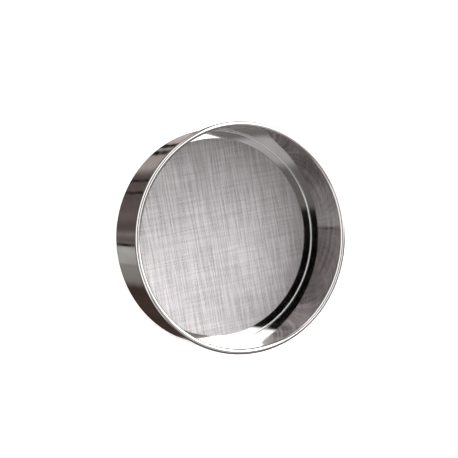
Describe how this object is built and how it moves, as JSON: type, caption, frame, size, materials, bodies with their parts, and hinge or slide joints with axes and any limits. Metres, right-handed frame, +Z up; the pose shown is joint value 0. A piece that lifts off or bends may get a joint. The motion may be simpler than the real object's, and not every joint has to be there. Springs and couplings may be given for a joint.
{
  "type": "soil sieve",
  "caption": "Round stainless soil sieve: a straight drum with a rolled rim, a flat woven wire cloth held near its lower edge and a nesting foot ring.",
  "frame": {"origin": "centre of the foot ring's lower edge, where the sieve stands", "axes": "+Z up along the drum's axis, out of its open rim"},
  "size_m": [0.21, 0.21, 0.065],
  "materials": {
    "polished_stainless": "mirror-polished 304 stainless sheet",
    "drawn_wire": "bright drawn stainless wire",
    "woven_cloth": "plain-woven stainless wire cloth",
    "soft_solder": "wiped lead-free solder"
  },
  "bodies": {
    "root": {"drum": "polished_stainless", "rim_wire": "drawn_wire", "mesh_cloth": "woven_cloth", "press_ring": "polished_stainless", "solder_fillet": "soft_solder", "foot_ring": "polished_stainless"}
  },
  "joints": []
}
